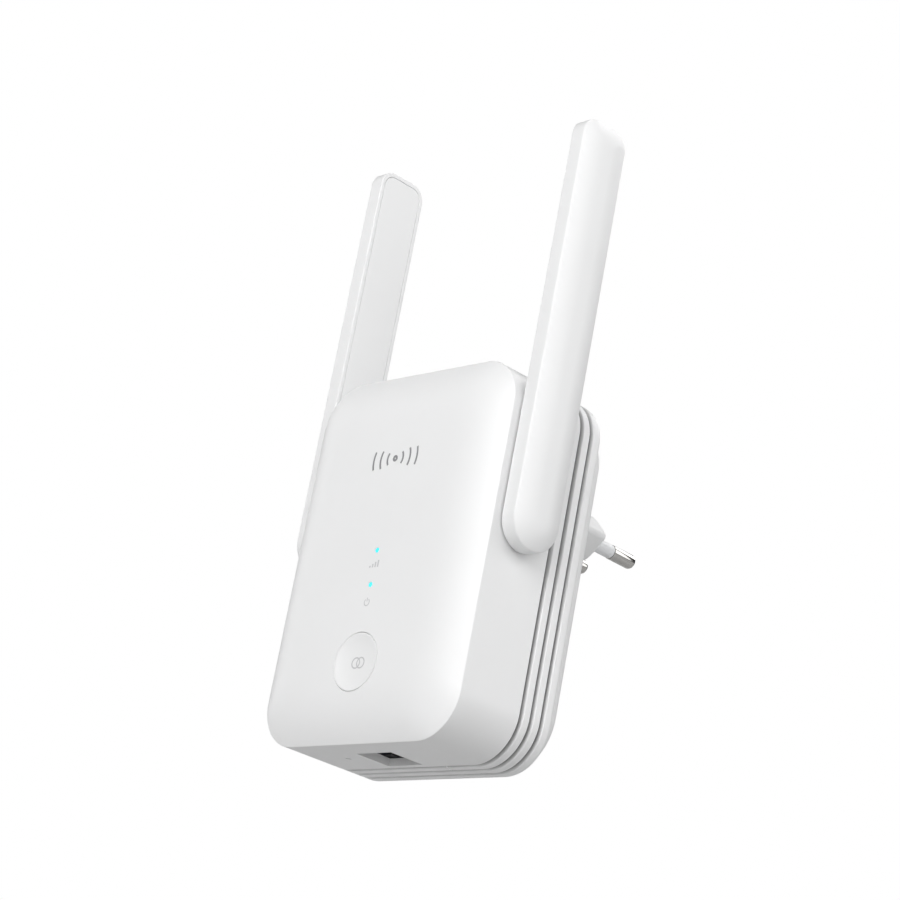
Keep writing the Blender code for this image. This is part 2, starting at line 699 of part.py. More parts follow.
def make_jack():
    """Ethernet jack that opens through the bottom wall, and its contacts."""
    mouth = BODY_LOW + WALL + GAP
    low = (-JACK_BODY_HALF, BOARD_BACK + GAP, mouth)
    high = (JACK_BODY_HALF, JACK_BODY_REAR, mouth + JACK_BODY_HEIGHT)
    jack = box("ethernet_jack", low, high, "black_plastic")
    low = (-CAVITY_HALF, CAVITY_FRONT, mouth - 1)
    high = (CAVITY_HALF, CAVITY_REAR, mouth + CAVITY_HEIGHT)
    cut(jack, box("jack_cavity", low, high, "black_plastic"))
    low = (-LATCH_HALF, CAVITY_REAR - 0.7, mouth - 1)
    high = (LATCH_HALF, LATCH_REAR, mouth + LATCH_HEIGHT)
    cut(jack, box("jack_latch", low, high, "black_plastic"))
    finger_low = mouth + 3.5
    bar_low = mouth + CAVITY_HEIGHT - 1.0
    bar_high = bar_low + 0.6
    half = COMB_FINGER / 2
    comb = [(4.3, bar_high), (-4.3, bar_high)]
    for finger in range(COMB_FINGERS):
        middle = (finger - (COMB_FINGERS - 1) / 2) * COMB_PITCH
        comb.extend(((middle - half, bar_low), (middle - half, finger_low)))
        comb.extend(((middle + half, finger_low), (middle + half, bar_low)))
    front = CAVITY_FRONT + CONTACT_GAP
    flat_curve("ethernet_contacts", comb, "Y", front, front + GAP, "contact_metal")


# Controls


def make_button():
    """Pairing button with a dished face, over its tact switch and plunger."""
    spot = (0, 0, BUTTON_Z)
    flange_front, flange_rear = (FACE_Y + depth for depth in BUTTON_FLANGE_SPAN)
    rim = BUTTON_RADIUS - BUTTON_RIM
    cap = [
        (BUTTON_STEM, FACE_Y + BUTTON_STEM_END),
        (BUTTON_STEM, flange_rear),
        (BUTTON_FLANGE, flange_rear),
        (BUTTON_FLANGE, flange_front),
        (BUTTON_RADIUS, flange_front),
        (BUTTON_RADIUS, FACE_Y + BUTTON_EDGE),
        (BUTTON_RADIUS - BUTTON_EDGE, FACE_Y),
        (rim, FACE_Y),
    ]
    for share in (0.8, 0.55, 0.3, 0.1):
        cap.append((share * rim, FACE_Y + BUTTON_DISH * (1 - share**DISH_POWER)))
    centre = (0, FACE_Y, BUTTON_Z)
    turned("pairing_button", "Y", spot, cap, "white_plastic", origin=centre, steps=FINE_STEPS)
    switch_front = FACE_Y + SWITCH_FRONT
    low = (-SWITCH_HALF, switch_front, BUTTON_Z - SWITCH_HALF)
    high = (SWITCH_HALF, BOARD_FRONT - CONTACT_GAP, BUTTON_Z + SWITCH_HALF)
    switch = box("pairing_switch", low, high, "black_plastic")
    well = ((1.9, switch_front - 1.4), (1.9, switch_front + 2.2))
    cut(switch, turned("switch_well", "Y", spot, well, "black_plastic", steps=16))
    tip = FACE_Y + BUTTON_STEM_END + CONTACT_GAP
    plunger = ((1.3, tip), (1.6, tip + 0.2), (1.6, switch_front + 1.4))
    centre = (0, switch_front, BUTTON_Z)
    turned("pairing_plunger", "Y", spot, plunger, "grey_plastic", origin=centre, steps=16)


def make_reset_key():
    """Reset switch and its plunger behind the pinhole in the bottom."""
    low = (RESET_X - 2.6, BOARD_BACK + CONTACT_GAP, RESET_SWITCH_LOW)
    high = (RESET_X + 2.6, RESET_Y + 2.15, RESET_SWITCH_HIGH)
    reset = box("reset_switch", low, high, "black_plastic")
    spot = (RESET_X, RESET_Y, 0)
    well = ((1.4, RESET_SWITCH_LOW - 1.7), (1.4, RESET_SWITCH_LOW + 2.3))
    cut(reset, turned("reset_well", "Z", spot, well, "black_plastic", steps=16))
    tip = RESET_SWITCH_LOW - 1.5
    plunger = ((0.9, tip), (1.1, tip + 0.2), (1.1, RESET_SWITCH_LOW + 1.4))
    centre = (RESET_X, RESET_Y, RESET_SWITCH_LOW)
    turned("reset_plunger", "Z", spot, plunger, "grey_plastic", origin=centre, steps=16)


def make_indicators():
    """Light pipes in the face, each over its LED."""
    pipe = (
        (PIPE_RADIUS - 0.12, FACE_Y - 0.1),
        (PIPE_RADIUS, FACE_Y + 0.05),
        (PIPE_RADIUS, FACE_Y + WALL + GAP),
        (1.7, FACE_Y + WALL + GAP),
        (1.7, FACE_Y + WALL + GAP + 1.0),
        (1.0, FACE_Y + WALL + GAP + 1.0),
        (1.0, BOARD_FRONT - 1.8),
    )
    half_x, half_z = LED_HALF
    rear = BOARD_FRONT - CONTACT_GAP
    for name, z in LED_HEIGHTS.items():
        turned(f"light_pipe_{name}", "Y", (0, 0, z), pipe, "light_pipe", steps=SMALL_STEPS)
        low = (-half_x, rear - LED_THICK, z - half_z)
        box(f"led_{name}", low, (half_x, rear, z + half_z), "led_lens")


# Antennas


def paddle_outline(inset):
    """Return the antenna outline as (y, z) points, inset evenly."""
    half = ANTENNA_HALF - inset
    radius = max(ANTENNA_TOP_RADIUS - inset, 0.5)
    top = ANTENNA_TOP - inset
    points = []
    for step in range(17):
        angle = math.radians(180 + 180 * step / 16)
        points.append((HINGE_Y + half * math.cos(angle), HINGE_Z + half * math.sin(angle)))
    for offset, start in ((half - radius, 0), (radius - half, 90)):
        for step in range(6):
            angle = math.radians(start + 90 * step / 5)
            y = HINGE_Y + offset + radius * math.cos(angle)
            points.append((y, top - radius + radius * math.sin(angle)))
    return points


def paddle_ring(side, x, inset):
    """Return the antenna outline as a ring at a distance from the middle plane."""
    return [(side * x, y, z) for y, z in paddle_outline(inset)]


def dome_x(inset):
    """Return how far out the antenna's domed face lies at an inset."""
    return ANTENNA_RIDGE + ANTENNA_RISE * (1 - (1 - inset / DOME_REACH) ** 2)


def make_antenna(name, side):
    """One antenna paddle: outer shell, inner panel and the radiator inside."""
    pivot = (side * ANTENNA_INNER, HINGE_Y, HINGE_Z)
    panel_edge = ANTENNA_WALL + PANEL_GAP
    rings = [paddle_ring(side, ANTENNA_RIDGE + 0.4, ANTENNA_WALL + 2.0)]
    rings.append(paddle_ring(side, ANTENNA_RIDGE - 0.2, panel_edge))
    rings.append(paddle_ring(side, ANTENNA_INNER, ANTENNA_WALL))
    rings.append(paddle_ring(side, ANTENNA_INNER, EDGE_BREAK))
    rings.append(paddle_ring(side, ANTENNA_INNER + EDGE_BREAK, 0.0))
    rings.append(paddle_ring(side, ANTENNA_RIDGE - 0.1, 0.0))
    rings.extend(paddle_ring(side, dome_x(inset), inset) for inset in DOME_INSETS)
    loft(f"antenna_shell_{name}", rings, "antenna_plastic", pivot)

    span = (side * ANTENNA_INNER, side * (ANTENNA_INNER + PANEL_THICK))
    sheet = flat_curve(
        f"antenna_panel_{name}", paddle_outline(panel_edge), "X", *span, "antenna_plastic", pivot
    )
    panel = as_mesh(sheet)
    hole = ((HINGE_HOLE + 0.1, side * 34), (HINGE_HOLE + 0.1, side * 40))
    axis = (0, HINGE_Y, HINGE_Z)
    cut(panel, turned(f"panel_hole_{name}", "X", axis, hole, "antenna_plastic"))

    inner, outer = (side * x for x in RADIATOR_SPAN)
    low = (inner, HINGE_Y - RADIATOR_HALF, HINGE_Z + RADIATOR_START)
    high = (outer, HINGE_Y + RADIATOR_HALF, ANTENNA_TOP - RADIATOR_END)
    box(f"antenna_radiator_{name}", low, high, "board_green", pivot)


def make_hinge(name, side):
    """Hinge barrel of one antenna, its clip and the friction washer."""
    pivot = (side * ANTENNA_INNER, HINGE_Y, HINGE_Z)
    axis = (0, HINGE_Y, HINGE_Z)
    flange = ANTENNA_INNER + PANEL_THICK + GAP
    flange_end = flange + HINGE_FLANGE_THICK
    barrel = (
        (HINGE_RADIUS, side * HINGE_INNER_END),
        (HINGE_RADIUS, side * flange),
        (HINGE_FLANGE, side * flange),
        (HINGE_FLANGE, side * flange_end),
        (HINGE_BORE, side * flange_end),
        (HINGE_BORE, side * HINGE_INNER_END),
    )
    turned(f"antenna_hinge_{name}", "X", axis, barrel, "white_plastic", pivot, closed=True)
    start, end = (side * x for x in CLIP_SPAN)
    radius = HINGE_RADIUS + 0.1
    tube(f"hinge_clip_{name}", "X", axis, HINGE_FLANGE, radius, start, end, "screw_metal", pivot, 24)
    start, end = (side * x for x in WASHER_SPAN)
    radius = HINGE_HOLE + 0.2
    tube(f"hinge_washer_{name}", "X", axis, WASHER_RADIUS, radius, start, end, "washer_nylon", steps=24)


def make_feed(name, side):
    """Coaxial feed of one antenna, in two halves that meet in the hinge."""
    pivot = (side * ANTENNA_INNER, HINGE_Y, HINGE_Z)
    lead = ((37.3, 0.0), (38.9, 0.3), (39.5, 2.2), (39.55, 6.0), (39.55, RADIATOR_START - 0.4))
    path = [(side * x, HINGE_Y, HINGE_Z + rise) for x, rise in lead]
    wire(f"antenna_lead_{name}", path, COAX_RADIUS, "coax_jacket", pivot)
    path = [
        (side * (FEED_PLUG_X + 1.9), BOARD_BACK + 1.3, FEED_PLUG_Z),
        (side * 28.4, HINGE_Y - 1.6, HINGE_Z - 2.5),
        (side * 30.0, HINGE_Y - 0.2, HINGE_Z - 0.25),
    ]
    path.extend((side * x, HINGE_Y, HINGE_Z) for x in (HINGE_INNER_END, 34.0, 37.0))
    wire(f"feed_cable_{name}", path, COAX_RADIUS, "coax_jacket")
    profile = ((1.6, BOARD_BACK + CONTACT_GAP), (1.6, BOARD_BACK + 1.8), (1.2, BOARD_BACK + 2.0))
    spot = (side * FEED_PLUG_X, 0, FEED_PLUG_Z)
    turned(f"feed_plug_{name}", "Y", spot, profile, "contact_metal", steps=16)


make_front_cover()
make_rear_cover()
make_plug()
make_main_board()
make_power_board()
make_jack()
make_button()
make_reset_key()
make_indicators()
for SIDE_NAME, SIDE in (("left", -1), ("right", 1)):
    make_antenna(SIDE_NAME, SIDE)
    make_hinge(SIDE_NAME, SIDE)
    make_feed(SIDE_NAME, SIDE)
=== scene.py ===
"""Looks of the plug-in Wi-Fi range extender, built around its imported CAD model.

Everything is in the row frame, in metres: +Y runs out of the plug towards the
wall, +Z is up and +X is to the right as seen from the front. The visible shells
are rebuilt smoothly to the CAD's measures, with finer fillets and with deeper
grooves in the rear shell. Every other CAD node stays and gets a procedural
material.
"""

import json
import math

import bmesh
import bpy
from mathutils import Matrix, Vector


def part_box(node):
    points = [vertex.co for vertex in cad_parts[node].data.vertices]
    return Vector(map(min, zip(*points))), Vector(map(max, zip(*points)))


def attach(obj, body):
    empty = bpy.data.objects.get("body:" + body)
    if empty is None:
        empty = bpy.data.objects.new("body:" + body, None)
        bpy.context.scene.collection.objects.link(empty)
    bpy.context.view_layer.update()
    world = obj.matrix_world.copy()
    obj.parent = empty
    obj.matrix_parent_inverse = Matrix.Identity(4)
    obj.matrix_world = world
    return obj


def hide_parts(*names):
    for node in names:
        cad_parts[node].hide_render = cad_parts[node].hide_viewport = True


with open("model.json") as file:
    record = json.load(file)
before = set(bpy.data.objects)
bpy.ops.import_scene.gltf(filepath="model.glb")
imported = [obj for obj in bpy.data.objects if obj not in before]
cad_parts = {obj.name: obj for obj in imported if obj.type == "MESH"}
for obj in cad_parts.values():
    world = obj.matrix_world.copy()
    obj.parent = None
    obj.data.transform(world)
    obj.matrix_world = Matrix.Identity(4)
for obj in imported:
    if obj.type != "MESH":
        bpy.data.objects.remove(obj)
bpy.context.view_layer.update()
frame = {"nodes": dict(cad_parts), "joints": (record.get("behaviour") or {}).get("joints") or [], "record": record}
MM = 0.001

# Measures read from the CAD nodes
FRONT_LOW, FRONT_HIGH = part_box("front_cover")
REAR_LOW, REAR_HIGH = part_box("rear_cover")
PLUG_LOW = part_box("plug_body")[0]
BUTTON_LOW, BUTTON_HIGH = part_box("pairing_button")
ANTENNA_LOW, ANTENNA_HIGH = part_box("antenna_shell_right")
HINGES = {
    joint["child"]: Vector(joint["pos_m"]) for joint in frame["joints"] if joint["type"] == "hinge"
}
BODY_HALF = FRONT_HIGH.x
FACE_Y = FRONT_LOW.y
SEAM_Y = FRONT_HIGH.y
HINGE = HINGES["antenna_right"]

# Case
CORNER = 12.6 * MM
WALL = 2.0 * MM
PILLOW_RISE = 4.2 * MM
PILLOW_REACH = 15.0 * MM
PILLOW_POWER = 2.2
EDGE_Y = FACE_Y + PILLOW_RISE
EDGE_ROUND = 0.35 * MM
FACE_START = 0.5 * MM
SEAM_BREAK = 0.12 * MM
INNER_SHARES = (1.0, 0.75, 0.5, 0.3, 0.15, 0.02)
GROOVE_DEPTH = 2.7 * MM
GROOVE_RUN = 1.55 * MM
# Painted shade: the colour of each groove slope is darkened to GROOVE_SHADE at its deep end and fades back to full
# towards the rib.
GROOVE_SHADE = 0.3
GROOVE_SHADE_FADE = (0.62, 0.98)
RIBS_END = 1.5 * GROOVE_RUN
RIB_ROUND = 0.14 * MM
GROOVES = (SEAM_Y, -34.84 * MM, -31.19 * MM)
REAR_INSIDE = 3.6 * MM
LIP_OUTSIDE = 2.3 * MM
BACK_Y = -26.3 * MM
BACK_ROUND = 1.9 * MM
PLINTH_HALF = 31.0 * MM
PLINTH_LOW = -71.5 * MM
PLINTH_HIGH = 23.7 * MM
PLINTH_CORNER = 14.6 * MM
PLINTH_ROUND = 2.0 * MM
LIP_Y = REAR_LOW.y

# Openings in the shells, and what shows in them
BUTTON_CENTRE = Vector((0.0, FACE_Y, (BUTTON_LOW.z + BUTTON_HIGH.z) / 2))
BUTTON_RADIUS = 7.66 * MM
BUTTON_HOLE = 7.76 * MM
BUTTON_DISH = 1.1 * MM
BUTTON_RIM = 0.3 * MM
BUTTON_SKIRT = 8.6 * MM
BUTTON_STEM = 1.6 * MM
MOUTH_LEAD = 0.12 * MM
PIPE_HOLE = 0.7 * MM
PIPE_LEAD = 0.06 * MM
PIPE_END = 0.62 * MM
PIPE_FLANGE = 1.7 * MM
PIPE_STEM = 1.0 * MM
HINGE_HOLE = 4.15 * MM
PANEL_HOLE = 4.3 * MM
JACK_HALF = 6.27 * MM
JACK_FRONT = -51.6 * MM
JACK_REAR = -40.4 * MM
RESET_HOLE = 0.75 * MM
NOTCH_HALF = 8.4 * MM
PRY_SLOT = (11.4 * MM, 11.9 * MM)
INK = 0.03 * MM
BROADCAST_Z = 0.8 * MM
SIGNAL_BARS_Z = -28.7 * MM
POWER_RING_Z = -38.0 * MM

# Plug
PLUG_APEX = 17.65 * MM
PLUG_FLAT = 10.8 * MM
PLUG_HALF_HEIGHT = 6.85 * MM
PLUG_TIP_ROUND = 1.6 * MM
PLUG_SIDE_ROUND = 8.0 * MM
PLUG_FLANGE = 3.0 * MM
PLUG_GAP = 0.12 * MM
PIN_OFFSET = 9.3 * MM
PIN_TIP_OFFSET = 8.75 * MM
PIN_LENGTH = 19.0 * MM
PIN_RADIUS = 2.0 * MM
PIN_CORE = 1.3 * MM
PIN_NOSE = 1.5 * MM
SLEEVE_LENGTH = 10.0 * MM
SLEEVE_RADIUS = 1.9 * MM
SLEEVE_BORE = 1.45 * MM

# Antennas
ANTENNA_HALF = (ANTENNA_HIGH.y - ANTENNA_LOW.y) / 2
ANTENNA_INNER = ANTENNA_LOW.x
ANTENNA_RISE = 1.8 * MM
ANTENNA_RIDGE = ANTENNA_HIGH.x - ANTENNA_RISE
ANTENNA_TOP_CORNER = 4.6 * MM
DOME_REACH = 6.5 * MM
RIDGE_START = 0.7 * MM
ANTENNA_WALL = 1.2 * MM
PANEL_INSET = 1.3 * MM
PANEL_DEPTH = 1.2 * MM
PANEL_SINK = 0.02 * MM

# Camera, studio and colours
CAMERA_PLACE = Vector((503.04, -491.80, -216.59)) * MM
CAMERA_RIGHT = Vector((0.69662342, 0.69480892, 0.17876344))
CAMERA_DOWN = Vector((-0.10927292, 0.34901873, -0.93072303))
CAMERA_LENS = 108.755
FLOOR_Z = -0.60
FLOOR_HALF = 20.0
FLOOR_GLOW = 0.48
FLOOR_FADE = (0.5, 2.4)
LIGHT_TARGET = Vector((0.0, -0.04, 0.01))
SOFTBOX_DISTANCE = 1.5
SOFTBOX_SIZE = 1.0

CASE_TINT = (0.800, 0.802, 0.804)
ANTENNA_TINT = (0.795, 0.797, 0.799)
SLEEVE_TINT = (0.79, 0.80, 0.81)
WHITE = (1.0, 1.0, 1.0, 1.0)
AMBIENT = 0.02

# Fineness of the meshes
CORNER_STEPS = 22
ARC_STEPS = 5
TURN_STEPS = 96
SMOOTH_ANGLE = math.radians(32)


# --- Materials -------------------------------------------------------------


def add_node(tree, kind, **settings):
    """Add a shader node; a setting is one of its attributes or, if not, an input."""
    node = tree.nodes.new(kind)
    for key, value in settings.items():
        if hasattr(node, key):
            setattr(node, key, value)
        else:
            node.inputs[key.replace("_", " ").title()].default_value = value
    return node


def noise(tree, coordinates, scale, detail=3.0, stretch=None):
    """Add a noise texture, in features per metre, stretched along an axis if asked."""
    texture = add_node(tree, "ShaderNodeTexNoise", scale=scale, detail=detail)
    source = coordinates
    if stretch:
        mapping = add_node(tree, "ShaderNodeMapping")
        mapping.inputs["Scale"].default_value = stretch
        tree.links.new(coordinates, mapping.inputs["Vector"])
        source = mapping.outputs["Vector"]
    tree.links.new(source, texture.inputs["Vector"])
    return texture.outputs["Fac"]


def spread(tree, factor, low, high, start=0.3, end=0.7):
    """Map a factor onto a range of values, held at both ends."""
    node = add_node(tree, "ShaderNodeMapRange")
    node.inputs["From Min"].default_value = start
    node.inputs["From Max"].default_value = end
    node.inputs["To Min"].default_value = low
    node.inputs["To Max"].default_value = high
    tree.links.new(factor, node.inputs["Value"])
    return node.outputs["Result"]


def blend_colours(tree, factor, first, second, start=0.3, end=0.7):
    """Colour ramp between two colours, driven by a factor."""
    ramp = tree.nodes.new("ShaderNodeValToRGB")
    ramp.color_ramp.elements[0].position = start
    ramp.color_ramp.elements[1].position = end
    ramp.color_ramp.elements[0].color = (*first, 1.0)
    ramp.color_ramp.elements[1].color = (*second, 1.0)
    tree.links.new(factor, ramp.inputs["Fac"])
    return ramp.outputs["Color"]


def surface(name, colours, roughness, grain, metallic=0.0, mottle=40.0, stretch=None):
    """Make a material with mottled colour, uneven gloss and a fine grain.

    The colours and the roughness are pairs that the surface wanders between.
    The grain is (features per metre, relief in metres), and stretch pulls both
    the gloss and the grain out along an axis.
    """
    material = bpy.data.materials.new(name)
    material.use_nodes = True
    tree = material.node_tree
    shader = tree.nodes["Principled BSDF"]
    shader.inputs["Metallic"].default_value = metallic
    where = tree.nodes.new("ShaderNodeTexCoord").outputs["Object"]
    colour = blend_colours(tree, noise(tree, where, mottle), *colours)
    tree.links.new(colour, shader.inputs["Base Color"])
    gloss = spread(tree, noise(tree, where, mottle * 9, 4.0, stretch), *roughness)
    tree.links.new(gloss, shader.inputs["Roughness"])
    bump = tree.nodes.new("ShaderNodeBump")
    bump.inputs["Strength"].default_value = 0.6
    bump.inputs["Distance"].default_value = grain[1]
    tree.links.new(noise(tree, where, grain[0], 2.0, stretch), bump.inputs["Height"])
    tree.links.new(bump.outputs["Normal"], shader.inputs["Normal"])
    return material


def glowing(material, colour, strength):
    """Let a material shine in one colour."""
    shader = material.node_tree.nodes["Principled BSDF"]
    shader.inputs["Emission Color"].default_value = (*colour, 1.0)
    shader.inputs["Emission Strength"].default_value = strength


def banded(material, axis, scale, first, second):
    """Replace a material's mottled colour by bands across one direction."""
    tree = material.node_tree
    where = tree.nodes["Texture Coordinate"].outputs["Object"]
    wave = add_node(tree, "ShaderNodeTexWave", bands_direction=axis, scale=scale, distortion=0.4)
    tree.links.new(where, wave.inputs["Vector"])
    colour = blend_colours(tree, wave.outputs["Fac"], first, second, 0.35, 0.6)
    tree.links.new(colour, tree.nodes["Principled BSDF"].inputs["Base Color"])


def moulded_white(name, tint):
    """White moulded plastic: spark-eroded grain and a soft satin gloss."""
    darker = tuple(channel * 0.985 for channel in tint)
    return surface(name, (darker, tint), (0.40, 0.47), (5200.0, 0.012 * MM), mottle=32.0)


def groove_shaded_white(name, tint):
    """Moulded white with painted shade: darker towards the bottom of each groove's slope, where shadow falls.

    The grooves repeat along Y, so the shade follows the fractional part of the
    place along Y, and stops behind the last groove.
    """
    material = moulded_white(name, tint)
    tree = material.node_tree
    shader = tree.nodes["Principled BSDF"]
    pitch = GROOVES[2] - GROOVES[1]
    axes = tree.nodes.new("ShaderNodeSeparateXYZ")
    tree.links.new(tree.nodes["Texture Coordinate"].outputs["Object"], axes.inputs["Vector"])
    turns = add_node(tree, "ShaderNodeMath", operation="MULTIPLY_ADD")
    tree.links.new(axes.outputs["Y"], turns.inputs[0])
    turns.inputs[1].default_value = 1 / pitch
    turns.inputs[2].default_value = -(GROOVES[0] + 0.05 * MM) / pitch
    share = add_node(tree, "ShaderNodeMath", operation="FRACT")
    tree.links.new(turns.outputs["Value"], share.inputs[0])
    run = GROOVE_RUN / pitch
    fade = (GROOVE_SHADE_FADE[0] * run, GROOVE_SHADE_FADE[1] * run)
    # Painted shade: full brightness on the ribs, down to GROOVE_SHADE at the deep end of each slope.
    painted_shade = spread(tree, share.outputs["Value"], GROOVE_SHADE, 1.0, *fade)
    beyond = add_node(tree, "ShaderNodeMath", operation="GREATER_THAN")
    tree.links.new(axes.outputs["Y"], beyond.inputs[0])
    beyond.inputs[1].default_value = GROOVES[2] + RIBS_END
    value = add_node(tree, "ShaderNodeMath", operation="MAXIMUM")
    tree.links.new(painted_shade, value.inputs[0])
    tree.links.new(beyond.outputs["Value"], value.inputs[1])
    tone = tree.nodes.new("ShaderNodeHueSaturation")
    tree.links.new(shader.inputs["Base Color"].links[0].from_socket, tone.inputs["Color"])
    tree.links.new(value.outputs["Value"], tone.inputs["Value"])
    tree.links.new(tone.outputs["Color"], shader.inputs["Base Color"])
    return material


def make_paint():
    """Make one material for each of the record's slots."""
    paint = {
        "white_plastic": moulded_white("case white", CASE_TINT),
        "antenna_plastic": moulded_white("antenna white", ANTENNA_TINT),
        "sleeve_plastic": moulded_white("sleeve white", SLEEVE_TINT),
        "pin_metal": surface(
            "polished nickel", ((0.56, 0.55, 0.53), (0.62, 0.61, 0.59)), (0.10, 0.14),
            (1400.0, 0.001 * MM), metallic=1.0,
        ),
        "contact_metal": surface(
            "gold plating", ((0.80, 0.58, 0.24), (0.88, 0.68, 0.34)), (0.2, 0.32),
            (3000.0, 0.004 * MM), metallic=1.0,
        ),
        "shield_metal": surface(
            "tinned steel", ((0.66, 0.67, 0.68), (0.76, 0.77, 0.78)), (0.26, 0.42),
            (2500.0, 0.01 * MM), metallic=1.0,
        ),
        "screw_metal": surface(
            "zinc plating", ((0.50, 0.50, 0.52), (0.62, 0.62, 0.63)), (0.3, 0.45),
            (3500.0, 0.01 * MM), metallic=1.0,
        ),
        "spreader_metal": surface(
            "rolled aluminium", ((0.68, 0.69, 0.71), (0.78, 0.79, 0.80)), (0.35, 0.5),
            (1500.0, 0.01 * MM), metallic=1.0, stretch=(1.0, 1.0, 14.0),
        ),
        "board_green": surface(
            "solder mask", ((0.012, 0.11, 0.05), (0.03, 0.20, 0.09)), (0.32, 0.5),
            (1800.0, 0.02 * MM), mottle=700.0,
        ),
        "black_plastic": surface(
            "black nylon", ((0.012, 0.012, 0.013), (0.022, 0.022, 0.024)), (0.42, 0.56), (4200.0, 0.02 * MM)
        ),
        "grey_plastic": surface(
            "grey nylon", ((0.26, 0.27, 0.28), (0.32, 0.33, 0.34)), (0.42, 0.55), (4200.0, 0.02 * MM)
        ),
        "ferrite": surface(
            "ferrite", ((0.05, 0.05, 0.055), (0.11, 0.11, 0.12)), (0.55, 0.75), (5000.0, 0.05 * MM)
        ),
        "winding_tape": surface(
            "winding tape", ((0.7, 0.5, 0.1), (0.8, 0.6, 0.14)), (0.3, 0.5), (900.0, 0.03 * MM)
        ),
        "capacitor_sleeve": surface(
            "shrink sleeve", ((0.03, 0.035, 0.08), (0.05, 0.06, 0.12)), (0.25, 0.4), (1200.0, 0.01 * MM)
        ),
        "fuse_body": surface(
            "fuse ceramic", ((0.5, 0.42, 0.3), (0.62, 0.54, 0.4)), (0.35, 0.5), (2500.0, 0.02 * MM)
        ),
        "copper_wire": surface(
            "enamelled copper", ((0.5, 0.2, 0.07), (0.68, 0.32, 0.12)), (0.22, 0.36),
            (3000.0, 0.02 * MM), metallic=1.0,
        ),
        "thermal_silicone": surface(
            "silicone pad", ((0.36, 0.46, 0.6), (0.45, 0.55, 0.68)), (0.7, 0.85), (2600.0, 0.04 * MM)
        ),
        "light_pipe": surface(
            "lit acrylic", ((0.05, 0.55, 0.62), (0.10, 0.68, 0.74)), (0.12, 0.2), (2600.0, 0.003 * MM)
        ),
        "led_lens": surface(
            "phosphor", ((0.85, 0.8, 0.4), (0.92, 0.88, 0.5)), (0.3, 0.45), (5000.0, 0.01 * MM)
        ),
        "coax_jacket": surface(
            "fluoropolymer", ((0.06, 0.06, 0.065), (0.10, 0.10, 0.11)), (0.3, 0.45), (3000.0, 0.01 * MM)
        ),
        "washer_nylon": surface(
            "nylon", ((0.64, 0.64, 0.6), (0.72, 0.72, 0.68)), (0.45, 0.6), (4000.0, 0.01 * MM)
        ),
    }
    glowing(paint["light_pipe"], (0.05, 0.80, 0.90), 0.55)
    banded(paint["winding_tape"], "X", 260.0, (0.62, 0.42, 0.07), (0.80, 0.60, 0.14))
    banded(paint["copper_wire"], "DIAGONAL", 520.0, (0.36, 0.13, 0.05), (0.70, 0.34, 0.13))
    return paint


PAINT = make_paint()
MARK_INK = surface(
    "silver ink", ((0.30, 0.30, 0.31), (0.40, 0.40, 0.41)), (0.30, 0.40),
    (4000.0, 0.004 * MM), metallic=0.35,
)
LABEL_INK = surface(
    "pale ink", ((0.50, 0.50, 0.51), (0.58, 0.58, 0.59)), (0.4, 0.5), (4000.0, 0.004 * MM)
)
TOOL_SKIN = PAINT["white_plastic"]
# Case white with painted shade in the rear shell's grooves.
GROOVE_SHADED_WHITE = groove_shaded_white("case white with painted groove shade", CASE_TINT)


def paint_frame():
    """Give every CAD node the material of its slot in the record."""
    for entry in frame["record"]["subparts"]:
        node = frame["nodes"][entry["node"]]
        node.data.materials.clear()
        node.data.materials.append(PAINT[entry["material_slot"]])


# --- Mesh makers -----------------------------------------------------------


def finish_mesh(name, mesh, material):
    """Shade a mesh smooth except at its real edges, and link its object."""
    mesh.materials.clear()
    mesh.materials.append(material)
    mesh.shade_smooth()
    mesh.set_sharp_from_angle(angle=SMOOTH_ANGLE)
    obj = bpy.data.objects.new(name, mesh)
    bpy.context.scene.collection.objects.link(obj)
    return obj


def loft(name, rings, material, closed=False):
    """Skin a list of equal-length rings into one closed body."""
    count = len(rings[0])
    mesh = bpy.data.meshes.new(name)
    bm = bmesh.new()
    layers = [[bm.verts.new(point) for point in ring] for ring in rings]
    pairs = list(zip(layers, layers[1:]))
    if closed:
        pairs.append((layers[-1], layers[0]))
    else:
        bm.faces.new(layers[0])
        bm.faces.new(reversed(layers[-1]))
    for lower, upper in pairs:
        for index in range(count):
            after = (index + 1) % count
            bm.faces.new((lower[index], upper[index], upper[after], lower[after]))
    bmesh.ops.recalc_face_normals(bm, faces=bm.faces)
    bm.to_mesh(mesh)
    bm.free()
    return finish_mesh(name, mesh, material)


def fillet_path(points, steps=ARC_STEPS):
    """Round a two-dimensional path; each point is (first, second, radius)."""
    path = []
    for index, (first, second, radius) in enumerate(points):
        here = Vector((first, second))
        if radius == 0 or index in (0, len(points) - 1):
            path.append(here)
            continue
        back = Vector(points[index - 1][:2]) - here
        ahead = Vector(points[index + 1][:2]) - here
        half = back.angle(ahead) / 2
        reach = min(radius / math.tan(half), 0.48 * back.length, 0.48 * ahead.length)
        radius = reach * math.tan(half)
        centre = here + (back.normalized() + ahead.normalized()).normalized() * (radius / math.sin(half))
        start = here + back.normalized() * reach - centre
        sweep = math.pi - 2 * half
        turn = math.copysign(sweep, start.y * back.x - start.x * back.y)
        for step in range(steps + 1):
            spot = Matrix.Rotation(turn * step / steps, 2) @ start
            path.append(centre + spot)
    return path


def rounded_rectangle(half, low, high, radius, y):
    """Return a rounded-rectangle ring in the XZ plane at depth y."""
    corners = (
        (half - radius, high - radius, 0),
        (radius - half, high - radius, 90),
        (radius - half, low + radius, 180),
        (half - radius, low + radius, 270),
    )
    points = []
    for x, z, start in corners:
        for step in range(CORNER_STEPS + 1):
            angle = math.radians(start + 90 * step / CORNER_STEPS)
            points.append((x + radius * math.cos(angle), y, z + radius * math.sin(angle)))
    return points


def body_ring(inset, y):
    """Return the case outline, inset evenly from the outer side walls."""
    return rounded_rectangle(
        BODY_HALF - inset, FRONT_LOW.z + inset, FRONT_HIGH.z - inset, CORNER - inset, y
    )


